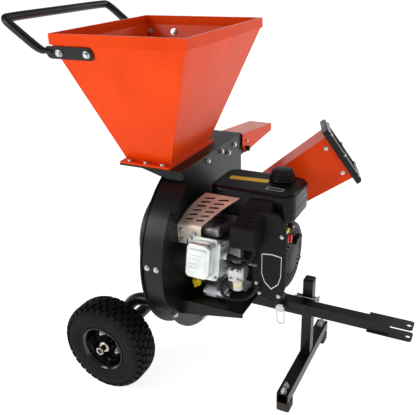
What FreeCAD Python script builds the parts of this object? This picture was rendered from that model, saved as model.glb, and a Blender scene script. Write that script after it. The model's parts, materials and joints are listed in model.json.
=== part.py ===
"""Tow-behind wood chipper: drum housing with a flail and knife rotor, direct-drive engine, top hopper,
side chipper chute, discharge deflector, two wheels, drawbar and height-adjustable rear stand.

Machine directions: X runs from the handle end to the hitch, Y across the machine (positive on the chute
side), Z up. The drum axis lies along X. Each sub-part is built in machine coordinates, whose zero is the
ground point under the drum axis at the engine-side plate, and its Placement moves it to the row frame,
whose zero is the centre of the machine's footprint.
"""
import FreeCAD, Part

import math
import os
import re

import Sketcher

SIZES = {
    # position of the machine datum in the row frame
    "datum_x": -66.9, "datum_y": -97,
    # drum housing
    "axis_z": 383, "drum_r": 254, "drum_w": 57, "plate": 4, "band": 3, "band_r": 251,
    "throat_y": 122, "duct_y": 245, "box_top": 626,
    # shredder hopper
    "hopper_x": -110, "rim_x": 374, "rim_y": 440, "rim_z": 970, "lip_z": 945, "base_x": 136, "base_y": 218,
    "flange_x": 150, "flange_y": 264, "top_plate": 4, "sheet": 2.5,
    # chipper chute: section at the drum and at the mouth, and its direction
    "chute_y": 98, "chute_z": 385, "chute_pitch": 35, "chute_yaw": 20, "chute_len": 408,
    "chute_w0": 56, "chute_h0": 102, "chute_w1": 91, "chute_h1": 140,
    # rotor
    "shaft_r": 12.5, "disc_r": 185, "disc_t": 10, "pin_r": 6, "pin_orbit": 140, "running": 0.05,
    # engine
    "bank_x": 78, "bank_tilt": 13, "shelf_z": 277,
    # running gear
    "axle_x": -192, "wheel_y": 246, "tyre_r": 132, "stub_r": 8, "arm_y": 150, "arm_r": 18,
    # hitch and stand
    "tube": 30, "wall": 2.5, "hitch_z": 231, "receiver_len": 309, "tow_end": 525, "clevis_x": 573,
    "clevis_r": 6.5, "lock_r": 5, "tow_pin_x": 237, "leg_x": 297, "leg_y": 35, "leg": 28, "beam": 32, "bar_top": 60,
    "leg_top": 298, "collar_top": 238, "foot_h": 28, "bolt_head": 6.5,
}

doc = FreeCAD.newDocument("wood_chipper")
sheet = doc.addObject("Spreadsheet::Sheet", "Sizes")
for row, (alias, value) in enumerate(SIZES.items(), start=1):
    sheet.set(f"A{row}", alias)
    sheet.set(f"B{row}", str(value))
    sheet.setAlias(f"B{row}", alias)
doc.recompute()

V = FreeCAD.Vector
NODES = []
ALONG_Z = FreeCAD.Rotation()
ALONG_X = FreeCAD.Rotation(V(0, 1, 0), V(0, 0, 1), V(1, 0, 0), "XYZ")
ALONG_Y = FreeCAD.Rotation(V(0, 0, 1), V(1, 0, 0), V(0, 1, 0), "XYZ")
AXES = {"X": ALONG_X, "Y": ALONG_Y, "Z": ALONG_Z}


def size(alias):
    """The number in the sheet's cell with this alias."""
    return float(sheet.get(alias))


def formula(text):
    """An expression with every alias pointing at its cell."""
    return re.sub(r"[a-z]\w*", lambda word: f"Sizes.{word.group(0)}" if word.group(0) in SIZES
                  else word.group(0), str(text))


def bind(obj, **properties):
    for name, text in properties.items():
        obj.setExpression(name.replace("__", "."), formula(text))
    return obj


def place(obj, corner, rotation=ALONG_Z):
    obj.Placement = FreeCAD.Placement(V(0, 0, 0), rotation)
    for axis, text in zip("xyz", corner):
        obj.setExpression(f".Placement.Base.{axis}", formula(text))
    return obj


def box(corner, sides, rotation=ALONG_Z):
    """A box from its lowest corner and its three sides."""
    obj = doc.addObject("Part::Box", "Box")
    return place(bind(obj, Length=sides[0], Width=sides[1], Height=sides[2]), corner, rotation)


def rod(start, length, radius, axis="X", start_angle=0, sweep=360):
    """A round bar, or a sector of one, from its start point along an axis."""
    obj = doc.addObject("Part::Cylinder", "Rod")
    bind(obj, Radius=radius, Height=length, Angle=sweep)
    return place(obj, start, AXES[axis].multiply(FreeCAD.Rotation(V(0, 0, 1), start_angle)))


def fuse(*parts):
    obj = doc.addObject("Part::MultiFuse", "Fuse")
    obj.Shapes = list(parts)
    return obj


def cut(base, *tools):
    obj = doc.addObject("Part::Cut", "Cut")
    obj.Base = base
    obj.Tool = tools[0] if len(tools) == 1 else fuse(*tools)
    return obj


def group(parts):
    obj = doc.addObject("Part::Compound", "Group")
    obj.Links = list(parts)
    return obj


def turned(obj, angle, centre=("0", "0", "0"), axis=V(1, 0, 0)):
    """The object in a frame of its own, turned by an angle about an axis through a centre."""
    holder = group([obj])
    return place(holder, centre, FreeCAD.Rotation(axis, angle))


def tube(corner, sides, wall, axis):
    """A hollow rectangular bar, open at both ends along an axis."""
    at = "XYZ".index(axis)
    inner_corner = [f"({c}) + {wall}" for c in corner]
    inner_sides = [f"({s}) - 2 * {wall}" for s in sides]
    inner_corner[at] = f"({corner[at]}) - 1"
    inner_sides[at] = f"({sides[at]}) + 2"
    return cut(box(corner, sides), box(inner_corner, inner_sides))


def shell_ring(x, length, outer, inner, start_angle=0, sweep=360):
    """A curved sheet about the drum axis, from a start angle measured from +Y towards +Z."""
    solid = rod((x, "0", "axis_z"), length, outer, "X", start_angle, sweep)
    return cut(solid, rod((f"{x} - 1", "0", "axis_z"), f"{length} + 2", inner, "X"))


def node(label, obj, origin=("0", "0", "0"), rotation=ALONG_Z):
    """Name a sub-part and place it from machine coordinates into the row frame."""
    holder = obj if obj.TypeId == "PartDesign::Body" else group([obj])
    if obj.TypeId == "Part::Compound" and obj.Placement.isIdentity():
        holder = obj
    holder.Label = label
    corner = (f"datum_x + {origin[0]}", f"datum_y + {origin[1]}", origin[2])
    place(holder, corner, rotation)
    NODES.append(holder)
    return holder


# Part Design helpers


def new_body():
    return doc.addObject("PartDesign::Body", "Body")


def origin_part(body, role):
    return [item for item in body.Origin.OriginFeatures if item.Role == role][0]


def outline(body, role, points, offset="0"):
    """A closed polygon on one of the body's origin planes, each corner held by two expressions."""
    sketch = body.newObject("Sketcher::SketchObject", "Outline")
    sketch.AttachmentSupport = [(origin_part(body, role), "")]
    sketch.MapMode = "FlatFace"
    sketch.setExpression("AttachmentOffset.Base.z", formula(offset))
    count = len(points)
    starts = [V(*guess(point), 0) for point in points]
    for index in range(count):
        sketch.addGeometry(Part.LineSegment(starts[index], starts[(index + 1) % count]))
    for index in range(count):
        sketch.addConstraint(Sketcher.Constraint("Coincident", index, 2, (index + 1) % count, 1))
    for index, point in enumerate(points):
        for kind, text, value in zip(("DistanceX", "DistanceY"), point, guess(point)):
            number = sketch.addConstraint(Sketcher.Constraint(kind, -1, 1, index, 1, value))
            sketch.setExpression(f"Constraints[{number}]", formula(text))
    return sketch


def guess(point):
    """The numbers that a pair of expressions gives, worked out in two spare cells."""
    values = []
    for cell, text in zip(("D1", "D2"), point):
        sheet.set(cell, "=" + formula(text).replace("Sizes.", ""))
        sheet.recompute()
        values.append(float(sheet.get(cell)))
    return values


def rectangle(centre, sides):
    """The corners of a rectangle, as expressions."""
    (cx, cy), (w, h) = centre, sides
    signs = ((-1, -1), (1, -1), (1, 1), (-1, 1))
    return [(f"{cx} + {a} * ({w}) / 2", f"{cy} + {b} * ({h}) / 2") for a, b in signs]


def prism(role, points, offset, length):
    """A straight bar of constant outline."""
    body = new_body()
    sketch = outline(body, role, points, offset)
    pad = body.newObject("PartDesign::Pad", "Pad")
    pad.Profile = sketch
    bind(pad, Length=length)
    return body


def turning(points, axis):
    """A solid of revolution: the outline lies in the XY plane and turns about the body's X or Y axis."""
    body = new_body()
    sketch = outline(body, "XY_Plane", points)
    revolution = body.newObject("PartDesign::Revolution", "Revolution")
    revolution.Profile = sketch
    revolution.ReferenceAxis = (origin_part(body, axis), [""])
    revolution.Angle = 360
    return body


def funnel(levels, role="XY_Plane"):
    """A tapering sheet-metal tube: outer loft less inner loft, from (offset, centre, sides, inner sides)."""
    body = new_body()
    for kind, part in (("PartDesign::AdditiveLoft", 2), ("PartDesign::SubtractiveLoft", 3)):
        sketches = [outline(body, role, rectangle(level[1], level[part]), level[0]) for level in levels]
        loft = body.newObject(kind, "Loft")
        loft.Profile = sketches[0]
        loft.Sections = sketches[1:]
        loft.Ruled = True
    return body


def bent_tube(points, radius, bends):
    """A round tube whose straight runs are joined by tangent arcs, one bend radius per inner point."""
    corners = [V(*point) for point in points]
    edges = []
    start = corners[0]
    for index in range(1, len(corners) - 1):
        into = (corners[index] - corners[index - 1]).normalize()
        away = (corners[index + 1] - corners[index]).normalize()
        bend = bends[index - 1]
        half = into.getAngle(away) / 2
        reach = bend * math.tan(half)
        first = corners[index] - into * reach
        last = corners[index] + away * reach
        inward = (away - into).normalize()
        middle = corners[index] + inward * (bend / math.cos(half) - bend)
        edges.append(Part.LineSegment(start, first).toShape())
        edges.append(Part.Arc(first, middle, last).toShape())
        start = last
    edges.append(Part.LineSegment(start, corners[-1]).toShape())
    wire = Part.Wire(edges)
    heading = corners[1] - corners[0]
    disc = Part.Wire(Part.makeCircle(radius, corners[0], heading))
    return wire.makePipeShell([disc], True, False)


def feature(shape):
    """An object that holds a shape made with Part's own functions."""
    obj = doc.addObject("Part::Feature", "Feature")
    obj.Shape = shape
    return obj


def bolt(head, axis="X", radius="bolt_head", height="5"):
    """A hexagonal bolt head or nut."""
    obj = doc.addObject("Part::Prism", "Bolt")
    obj.Polygon = 6
    return place(bind(obj, Circumradius=radius, Height=height), head, AXES[axis])


# Drum housing


def housing():
    above = box(("-200", "-300", "box_top"), ("300", "600", "60"))
    disc = rod(("-plate", "0", "axis_z"), "plate", "drum_r")
    upper = box(("-plate", "-throat_y", "axis_z"), ("plate", "throat_y + duct_y", "box_top - axis_z"))
    shaft_hole = rod(("-plate - 1", "0", "axis_z"), "plate + 2", "30")
    chute_hole = box(("-plate - 1", "72", "336"), ("plate + 2", "50", "92"))
    rim = shell_ring("0", "15", "drum_r - 0.5", "drum_r - 3.5", 119, 21)
    node("housing_plate", fuse(cut(fuse(disc, upper), shaft_hole, chute_hole, above), rim))

    back = "-plate - drum_w - plate"
    disc = rod((back, "0", "axis_z"), "plate", "drum_r")
    upper = box((back, "-throat_y", "axis_z"), ("plate", "throat_y + duct_y", "box_top - axis_z"))
    mouth = box((f"{back} - 1", "-108", "600"), ("plate + 2", "216", "40"))
    hub_hole = rod((f"{back} - 1", "0", "axis_z"), "plate + 2", "124")
    node("housing_back_plate", cut(fuse(disc, upper), mouth, hub_hole, above))

    inside = "-plate - drum_w"
    wall = box((inside, "-throat_y", "601"), ("drum_w", "band", "box_top - 601"))
    arc = shell_ring(inside, "drum_w", "band_r", "band_r - band", 119, 57)
    node("housing_band_upper", fuse(arc, wall))

    outer = shell_ring(inside, "drum_w", "band_r - 3.3", "band_r - 6.3", 172, 38)
    step = turned(box((inside, "201", "-2"), ("drum_w", "46", "3")), 210, ("0", "0", "axis_z"))
    inner = shell_ring(inside, "drum_w", "203", "200", 209.5, 120.5)
    ramp = turned(box((inside, "0", "-3"), ("drum_w", "117", "3")), 55.7, ("0", "175.8", "281.5"))
    node("housing_band_lower", fuse(outer, step, inner, ramp))

    cup = [("-152", "0"), ("-152", "122"), ("-144", "130"), ("-68", "130"), ("-68", "145"), ("-65", "145"),
           ("-65", "127"), ("-143", "127"), ("-149", "121"), ("-149", "0")]
    node("hub_cover", turning(cup, "X_Axis"), ("0", "0", "axis_z"))


def throat_and_duct():
    top = cut(box(("-185", "-134", "box_top"), ("185", "379", "top_plate")),
              box(("-165", "-108", "box_top - 1"), ("120", "216", "top_plate + 2")))
    slope = prism("XZ_Plane", [("-166", "box_top"), ("-65", "598"), ("-65", "601"), ("-163", "box_top")],
                  "-111", "222")
    cheek = [("-163", "box_top"), ("-65", "601"), ("-65", "box_top")]
    cheeks = [prism("XZ_Plane", cheek, offset, "3") for offset in ("-111", "108")]
    wall = box(("-plate - drum_w", "128", "560"), ("drum_w", "3", "box_top - 560"))
    node("throat", fuse(top, slope, wall, *cheeks))

    wall = box(("-plate - drum_w", "duct_y - 3", "axis_z"), ("drum_w", "3", "178"))
    spout = tube(("-plate - drum_w - plate", "duct_y", "560"), ("plate + drum_w + plate", "35", "54"),
                 "3", "Y")
    node("discharge_duct", group([wall, spout]))


def hopper():
    flat = ("hopper_x", "0")
    levels = [("636", flat, ("base_x", "base_y"), ("base_x - 2 * sheet", "base_y - 2 * sheet")),
              ("lip_z", flat, ("rim_x - 10", "rim_y - 10"),
               ("rim_x - 10 - 2 * sheet", "rim_y - 10 - 2 * sheet"))]
    walls = funnel(levels)
    lip = cut(box(("hopper_x - rim_x / 2", "-rim_y / 2", "lip_z - 1"), ("rim_x", "rim_y", "rim_z - lip_z + 1")),
              box(("hopper_x - rim_x / 2 + 6", "-rim_y / 2 + 6", "lip_z - 2"),
                  ("rim_x - 12", "rim_y - 12", "40")))
    flange = cut(box(("hopper_x - flange_x / 2", "-flange_y / 2", "630"), ("flange_x", "flange_y", "6")),
                 box(("hopper_x - base_x / 2 + sheet", "-base_y / 2 + sheet", "629"),
                     ("base_x - 2 * sheet", "base_y - 2 * sheet", "8")))
    node("hopper", fuse(walls, lip, flange))

    lean = (size("rim_y") - 10 - size("base_y")) / 2 / (size("lip_z") - 636)
    tilt = math.degrees(math.atan(lean))
    tube_r = 11
    side = 216.5
    corner_x = -438
    pad_start, pad_len, pad_low = -317, 141, -3
    grip = bent_tube([(-298, -side, 929), (-330, -side, 931), (corner_x, -222, 1003), (corner_x, 222, 1003),
                      (-330, side, 931), (-298, side, 929)], tube_r, [30, 32, 32, 30])
    pads = []
    for sign in (-1, 1):
        pad = Part.makeBox(pad_len, 4, 34, V(pad_start, -2, pad_low))
        ends = [edge for edge in pad.Edges
                if edge.Length < 5 and abs(edge.CenterOfMass.x - pad_start - pad_len) < 0.1]
        pad = pad.makeFillet(12, ends)
        pad.rotate(V(0, 0, 0), V(1, 0, 0), -sign * tilt)
        pad.translate(V(0, sign * (size("base_y") / 2 + lean * (911 - 636) + 2.4), 911))
        pads.append(pad)
    node("hopper_handle", feature(grip.fuse(pads)))


# Chipper chute


def chute_turn():
    """The chute's own axes in the machine: across, up across the section, and along the chute."""
    pitch = math.radians(size("chute_pitch"))
    yaw = math.radians(size("chute_yaw"))
    along = V(math.cos(pitch) * math.cos(yaw), math.cos(pitch) * math.sin(yaw), math.sin(pitch))
    across = V(-math.sin(yaw), math.cos(yaw), 0)
    return FreeCAD.Rotation(across, along.cross(across), along, "ZXY")


def chute_section(distance, wall="0"):
    width = f"chute_w0 + (chute_w1 - chute_w0) * {distance} / chute_len - 2 * ({wall})"
    height = f"chute_h0 + (chute_h1 - chute_h0) * {distance} / chute_len - 2 * ({wall})"
    return width, height


def chute():
    root = ("0", "chute_y", "chute_z")
    centre = ("0", "0")
    levels = [(text, centre, chute_section(text), chute_section(text, "2")) for text in ("150", "chute_len")]
    node("chipper_chute", funnel(levels), root, chute_turn())

    mouth = chute_section("chute_len")
    frame = cut(box((f"-({mouth[0]}) / 2 - 12", f"-({mouth[1]}) / 2 - 18", "chute_len - 6"),
                    (f"{mouth[0]} + 24", f"{mouth[1]} + 36", "14")),
                box((f"-({mouth[0]}) / 2 - 0.01", f"-({mouth[1]}) / 2 - 0.01", "chute_len - 8"),
                    (f"{mouth[0]} + 0.02", f"{mouth[1]} + 0.02", "10")),
                box((f"-({mouth[0]}) / 2 + 8", f"-({mouth[1]}) / 2 + 8", "chute_len - 10"),
                    (f"{mouth[0]} - 16", f"{mouth[1]} - 16", "30")))
    node("chute_frame", frame, root, chute_turn())
    flaps = []
    for corner in ("-34", "1"):
        flaps.append(box((corner, "-58", "chute_len - 1"), ("33", "116", "2.6")))
    node("chute_flap", group(flaps), root, chute_turn())

    outer = [("-29.3", "426.8"), ("89.6", "518.5"), ("156.2", "423.5"), ("240.7", "477.1"), ("199", "380"),
             ("30", "325"), ("-29.3", "325")]
    inner = [("-40", "414.5"), ("92", "517"), ("158", "424.8"), ("239.1", "481"), ("196.2", "381.2"),
             ("29.6", "328.5"), ("-40", "328.5")]
    base = cut(prism("XZ_Plane", outer, "-36", "72"), prism("XZ_Plane", inner, "-33", "66"))
    base = turned(base, size("chute_yaw"), ("0", "chute_y", "0"), V(0, 0, 1))
    node("chute_base", cut(base, box(("-200", "-100", "250"), ("200", "400", "400"))))


# Rotor: everything that turns with the crankshaft


def rotor():
    centre = ("0", "0", "axis_z")
    shaft = rod(("-57", "0", "0"), "257", "shaft_r")
    web = cut(rod(("66", "0", "0"), "26", "34"), box(("70", "-60", "8"), ("18", "120", "60")))
    node("crankshaft", fuse(shaft, web), centre)

    discs = fuse(rod(("-26", "0", "0"), "disc_t", "disc_r"), rod(("-53", "0", "0"), "28", "26"),
                 rod(("-57", "0", "0"), "4", "155"))
    bores = [rod(("-60", "0", "0"), "60", "shaft_r")]
    for sign in ("-", ""):
        bores.append(rod(("-60", f"{sign}pin_orbit", "0"), "60", "pin_r"))
    node("rotor_disc", cut(discs, *bores), centre)

    knives = []
    for angle in (70, 250):
        blade = box(("-16", "60", "-18"), ("7", "110", "36"))
        knives.append(turned(blade, angle))
    node("chipper_knives", group(knives), centre)
    pins = [rod(("-57", f"{sign}pin_orbit", "0"), "41", "pin_r") for sign in ("-", "")]
    node("hammer_pins", group(pins), centre)
    node("flywheel", cut(rod(("172", "0", "0"), "24", "74"), rod(("170", "0", "0"), "30", "shaft_r")), centre)

    for label, sign in (("hammers_a", 1), ("hammers_b", -1)):
        bars = []
        for start in ("-50", "-38"):
            bar = box((start, "-14", "-13"), ("6", "58", "26"))
            hole = rod((f"{start} - 1", "0", "0"), "8", "pin_r + running")
            bars.append(cut(bar, hole))
        turn = FreeCAD.Rotation(V(1, 0, 0), 0 if sign > 0 else 180)
        node(label, group(bars), ("0", f"{sign} * pin_orbit", "axis_z"), turn)


# Engine


def banked(*parts):
    """Pieces built about the crank axis with the cylinder along -Y, tipped up by the cylinder's bank."""
    return turned(group(parts), -size("bank_tilt"), ("0", "0", "axis_z"))


def engine():
    case = box(("8", "-62", "shelf_z"), ("140", "118", "176"))
    bore = rod(("-5", "0", "axis_z"), "170", "shaft_r + running")
    web_room = rod(("62", "0", "axis_z"), "34", "40")
    front = rod(("0.3", "0", "axis_z"), "9", "28")
    fins = [box(("bank_x - 45", f"-{66 + 9 * step}", "-44"), ("90", "3", "88")) for step in range(9)]
    barrel = rod(("bank_x", "-142", "0"), "84", "36", "Y")
    neck = rod(("26", "-112", "311"), "51", "9", "Y")
    posts = [box((x, "-40", "450"), ("20", "80", "50")) for x in ("50", "120")]
    node("engine_block", cut(fuse(case, front, neck, *posts, banked(fuse(barrel, *fins))), bore, web_room))

    fins = [box(("bank_x - 44", f"-{148 + 8 * step}", "-46"), ("88", "3", "92")) for step in range(4)]
    core = box(("bank_x - 36", "-178", "-40"), ("72", "36", "80"))
    plug_boss = rod(("bank_x + 30", "-160", "10"), "20", "10.6", "X")
    node("cylinder_head", banked(fuse(core, plug_boss, *fins)))
    cover = fuse(box(("bank_x - 32", "-216", "-45"), ("64", "38", "90")),
                 box(("bank_x - 38", "-182", "-46"), ("76", "4", "92")))
    lid = box(("bank_x - 27", "-221", "-38"), ("54", "6", "76"))
    node("valve_cover", banked(fuse(cover, lid)))
    plug = fuse(rod(("bank_x + 50", "-160", "10"), "12", "8", "X"), rod(("bank_x + 62", "-160", "10"), "14", "5", "X"))
    node("spark_plug", banked(plug))

    node("muffler", fuse(box(("14", "-150", "469"), ("96", "78", "30")), rod(("60", "-105", "452"), "20", "12", "Z")))
    slope = prism("XY_Plane", [("1", "0"), ("68", "0"), ("131", "109"), ("35", "109")], "0", "1.6")
    slope = turned(slope, 29, ("0", "-165", "503"))
    apron = prism("XZ_Plane", [("1", "450"), ("28", "450"), ("34", "472"), ("68", "472"), ("68", "504"), ("1", "504")],
                  "163.4", "1.6")
    node("muffler_guard", fuse(slope, apron))

    side = [("-150", "452"), ("-150", "506"), ("-140", "513"), ("-69", "557"), ("-69", "452")]
    node("air_filter_cover", prism("YZ_Plane", side, "141", "64.5"))
    throat_pipe = rod(("126", "-120", "372"), "42", "17", "X")
    carb = fuse(throat_pipe, box(("132", "-142", "352"), ("32", "44", "38")),
                rod(("148", "-120", "322"), "34", "17", "Z"), box(("126", "-118", "384"), ("30", "24", "68")))
    node("carburetor", carb)
    node("oil_level_unit", fuse(rod(("54", "-120", "294"), "60", "15", "X"),
                                box(("60", "-118", "281"), ("44", "56", "6"))))

    ring = cut(rod(("150", "0", "axis_z"), "88", "93"), rod(("152", "0", "axis_z"), "90", "89"),
               rod(("140", "0", "axis_z"), "30", "20"))
    panel = prism("XZ_Plane", [("206", "300"), ("240", "284"), ("258", "300"), ("264", "452"), ("262", "500"),
                               ("209", "508")], "92.5", "10")
    controls = prism("YZ_Plane", [("-92.5", "425"), ("-92.5", "498"), ("-34", "498"), ("-34", "472"), ("-66", "452"),
                                  ("-84", "425")], "209", "43")
    node("fan_shroud", fuse(ring, panel, controls))
    cap = [("238", "0"), ("238", "91.5"), ("250", "91.5"), ("259", "80"), ("259", "0")]
    node("recoil_cover", turning(cap, "X_Axis"), ("0", "0", "axis_z"))

    shell = [("-68", "500"), ("76", "500"), ("84", "512"), ("84", "572"), ("74", "582"), ("-52", "582"),
             ("-68", "572")]
    node("fuel_tank", fuse(prism("YZ_Plane", shell, "40", "245"), rod(("205", "50", "580"), "8", "24", "Z")))


def engine_fittings():
    node("fuel_cap", cut(rod(("0", "0", "0"), "20", "33", "Z"), rod(("0", "0", "-1"), "9", "24.3", "Z")),
         ("205", "50", "582.5"))
    node("dipstick", fuse(rod(("0", "-12", "0"), "12", "12", "Y"), box(("-3", "-20", "-12"), ("6", "10", "24"))),
         ("26", "-112.3", "311"))
    node("choke_lever", fuse(rod(("0", "0", "0"), "6", "7", "X"), box(("0", "-26", "-4"), ("4", "26", "8"))),
         ("252.3", "-42", "476"))
    node("throttle_lever", fuse(rod(("0", "0", "0"), "4", "6", "Z"), box(("-3", "-26", "0"), ("6", "26", "3"))),
         ("148", "-131", "390.3"))
    node("engine_switch", box(("0", "-5", "-6"), ("6", "10", "12")), ("259.3", "-46", "457"))
    node("recoil_handle", box(("0", "-26", "-8"), ("16", "52", "16")), ("259.4", "0", "435"))
    lead = bent_tube([(154, -153.6, 428.7), (172, -153.6, 428.7), (186, -140, 422), (188, -115, 412),
                      (186, -94, 405)], 3.2, [14, 14, 16])
    node("spark_lead", feature(lead))
    hose = bent_tube([(136, -64, 500), (136, -66, 474), (136, -78, 450), (137, -86, 424), (137, -87, 396),
                      (138, -98, 374)], 3.5, [24, 24, 24, 20])
    node("fuel_hose", feature(hose))


# Frame, wheels and hitch


def frame():
    skirt = prism("XZ_Plane", [("0", "shelf_z - 46"), ("0", "shelf_z"), ("182", "shelf_z"), ("182", "265")],
                  "164", "4")
    deck = box(("0", "-168", "shelf_z - 4"), ("182", "236", "4"))
    gusset = prism("XZ_Plane", [("182", "shelf_z"), ("182", "shelf_z - 4"), ("230", "248.8"), ("240", "248.8")],
                   "-17", "34")
    ribs = [box(("0", y, "248.8"), ("182", "4", "25")) for y in ("-16", "12")]
    node("engine_shelf", fuse(skirt, deck, gusset, *ribs))

    outer = "tube + 5.6"
    bar = tube(("0", "-tube / 2 - 2.8", "hitch_z - tube / 2 - 2.8"), ("receiver_len", outer, outer), "2.4", "X")
    pin_holes = rod(("tow_pin_x", "-40", "hitch_z"), "80", "lock_r + running", "Y")
    half = "(leg / 2 + 3.4)"
    collar = tube((f"leg_x - {half}", f"leg_y - {half}", "collar_top - 36"),
                  (f"2 * {half}", f"2 * {half}", "36"), "3.1", "Z")
    node("receiver_tube", fuse(cut(bar, pin_holes), collar))

    arm_r = size("arm_r")
    shapes = []
    for sign in (-1, 1):
        y = sign * size("arm_y")
        shapes.append(bent_tube([(-65.3, y, 235), (size("axle_x") - 6, y, 232), (size("axle_x"), y, 132)],
                                arm_r, [70]))
    axle = Part.makeCylinder(arm_r, 372, V(size("axle_x"), -186, 132), V(0, 1, 0))
    stub = Part.makeCylinder(size("stub_r"), 592, V(size("axle_x"), -296, 132), V(0, 1, 0))
    node("axle_frame", feature(axle.fuse(shapes + [stub])))
    nuts = []
    for start in ("-297", "291"):
        nuts.append(cut(bolt(("axle_x", start, "tyre_r"), "Y", "12", "6"),
                        rod(("axle_x", "-400", "tyre_r"), "800", "stub_r", "Y")))
    node("axle_nuts", group(nuts))


def wheels():
    rim = [("stub_r + running", "-30"), ("18", "-30"), ("18", "-8"), ("52", "-8"), ("56", "-40"), ("65", "-40"),
           ("65", "-36"), ("59", "-34"), ("57", "0"), ("59", "34"), ("65", "36"), ("65", "40"), ("56", "40"),
           ("52", "-3"), ("18", "-3"), ("18", "30"), ("stub_r + running", "30")]
    tyre = [("65", "-36"), ("72", "-42"), ("100", "-44"), ("124", "-38"), ("131.5", "-24"), ("tyre_r", "0"),
            ("131.5", "24"), ("124", "38"), ("100", "44"), ("72", "42"), ("65", "36"), ("59", "34"),
            ("57", "0"), ("59", "-34")]
    for side, sign in (("near", -1), ("far", 1)):
        hub = ("axle_x", f"{sign} * wheel_y", "tyre_r")
        mirror = FreeCAD.Rotation(V(0, 0, 1), 0 if sign > 0 else 180)
        node(f"rim_{side}", turning(rim, "Y_Axis"), hub, mirror)
        node(f"tyre_{side}", turning(tyre, "Y_Axis"), hub, mirror)


def hitch():
    bar = tube(("110", "-tube / 2", "hitch_z - tube / 2"), ("tow_end - 110", "tube", "tube"), "wall", "X")
    slot = box(("tow_pin_x - 62 - lock_r", "-40", "hitch_z - lock_r - running"),
               ("62 + 2 * lock_r + running", "80", "2 * lock_r + 2 * running"))
    plates = []
    for low in ("hitch_z + tube / 2", "hitch_z - tube / 2 - 4"):
        blank = box(("471", "-20", low), ("105", "40", "4"))
        tip = box(("570", "-14", low), ("14", "28", "4"))
        corners = [rod(("576", y, low), "4", "8", "Z") for y in ("-12", "12")]
        plates.append(cut(fuse(blank, tip, *corners), rod(("clevis_x", "0", "100"), "300", "clevis_r", "Z")))
    node("tow_tube", fuse(cut(bar, slot), *plates))

    pin = fuse(rod(("0", "-32", "0"), "64", "lock_r", "Y"), rod(("0", "-36", "0"), "6", "9", "Y"))
    node("tow_pin", pin, ("tow_pin_x", "0", "hitch_z"))
    node("leg_pin", fuse(rod(("-34", "0", "0"), "62", "lock_r"), rod(("25", "0", "0"), "6", "8")),
         ("leg_x", "leg_y", "collar_top + lock_r + 0.3"))


def bails():
    """Wire bails that swing on the ends of the two lock pins."""
    wire = bent_tube([(11, 0, -3), (14, 0, -46), (-6, 0, -52), (-11, 0, -3)], 1.5, [8, 8])
    eye = Part.makeCylinder(12.3, 3, V(0, -1.5, 0), V(0, 1, 0))
    eye = eye.cut(Part.makeCylinder(9.3, 3, V(0, -1.5, 0), V(0, 1, 0)))
    node("tow_pin_wire", feature(wire.fuse(eye)), ("tow_pin_x", "-34", "hitch_z"))
    wire = bent_tube([(0, 0, 9.8), (0, -22, 9.8), (-31, -25, 12), (-62, -22, 9), (-62, -16.5, 8)], 1.5, [8, 40, 5])
    node("leg_pin_wire", feature(wire), ("leg_x + 28", "leg_y", "collar_top + lock_r + 0.3"))


def stand():
    leg = tube(("leg_x - leg / 2", "leg_y - leg / 2", "bar_top"), ("leg", "leg", "leg_top - bar_top"), "2.5", "Z")
    hole = rod(("leg_x - 40", "leg_y", "collar_top + lock_r + 0.3"), "80", "lock_r + running")
    bar = tube(("leg_x - beam / 2", "-170", "bar_top - beam"), ("beam", "374", "beam"), "2.5", "Y")
    node("stand_leg", fuse(cut(leg, hole), bar))
    node("leg_cap", fuse(box(("leg_x - 15", "leg_y - 15", "leg_top"), ("30", "30", "4")),
                         box(("leg_x - 12", "leg_y - 12", "leg_top + 4"), ("24", "24", "3")),
                         box(("leg_x - 11.5", "leg_y - 11.5", "leg_top - 12"), ("23", "23", "12"))))
    feet = [box(("leg_x - 18", y, "0"), ("36", "40", "foot_h")) for y in ("-168", "162")]
    node("stand_feet", group(feet))
    spots = ("-160", "-138", "172", "192")
    node("foot_bolts", group([bolt(("leg_x", y, "bar_top"), "Z", "6", "4") for y in spots]))


def deflector():
    """A channel that hangs over the discharge spout, open below; its frame is at the hinge."""
    side = [("-27.8", "28"), ("218", "0"), ("218", "-24"), ("30", "-34"), ("-6", "-37"), ("-27.8", "-10")]
    inner = [("-40", "26.6"), ("215.5", "-2"), ("215.5", "-60"), ("-40", "-60")]
    hood = cut(prism("YZ_Plane", side, "-42", "80"), prism("YZ_Plane", inner, "-39.5", "75"))
    holes = rod(("-60", "0", "0"), "120", "4.3")
    knob_hole = rod(("-60", "0", "-24"), "120", "3.3")
    node("deflector", cut(hood, holes, knob_hole), ("-plate - drum_w / 2", "273", "598"))
    node("deflector_knob", fuse(rod(("38.3", "0", "-24"), "12", "9", "X"), rod(("34", "0", "-24"), "6", "3.2", "X")),
         ("-plate - drum_w / 2", "273", "598"))


def bolts():
    heads = [("0", "17", "612"), ("0", "103", "614"), ("0", "193", "608"), ("0", "150", "596"),
             ("0", "-202", "248"), ("0", "-43", "141"), ("0", "120", "180")]
    plate_bolts = [bolt(head, "X") for head in heads]
    lid = [bolt((x, y, "636"), "Z") for x in ("-160", "-110", "-60") for y in ("-122", "122")]
    cover = [bolt(("-72", f"{138 * math.cos(angle):.2f}", f"axis_z + {138 * math.sin(angle):.2f}"), "X", "5", "4")
             for angle in (0.5, 2.6, 3.7, 5.7)]
    pivots = [rod((start, "273", "598"), "11", "4") for start in ("-76", "0")]
    node("frame_bolts", group(plate_bolts + lid + cover + pivots))


for build in (housing, throat_and_duct, hopper, chute, rotor, engine, engine_fittings, frame, wheels, hitch,
              bails, stand, deflector, bolts):
    build()
doc.recompute()

faults = [item.Name for item in doc.Objects if {"Invalid", "Error"} & set(item.State)]
faults += [item.Label for item in NODES if item.Shape.isNull() or not item.Shape.isValid()]
if faults:
    raise RuntimeError(f"faulty objects: {faults}")
os.makedirs("parts", exist_ok=True)
for item in NODES:
    item.Shape.exportStep(f"parts/{item.Label}.step")
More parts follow.
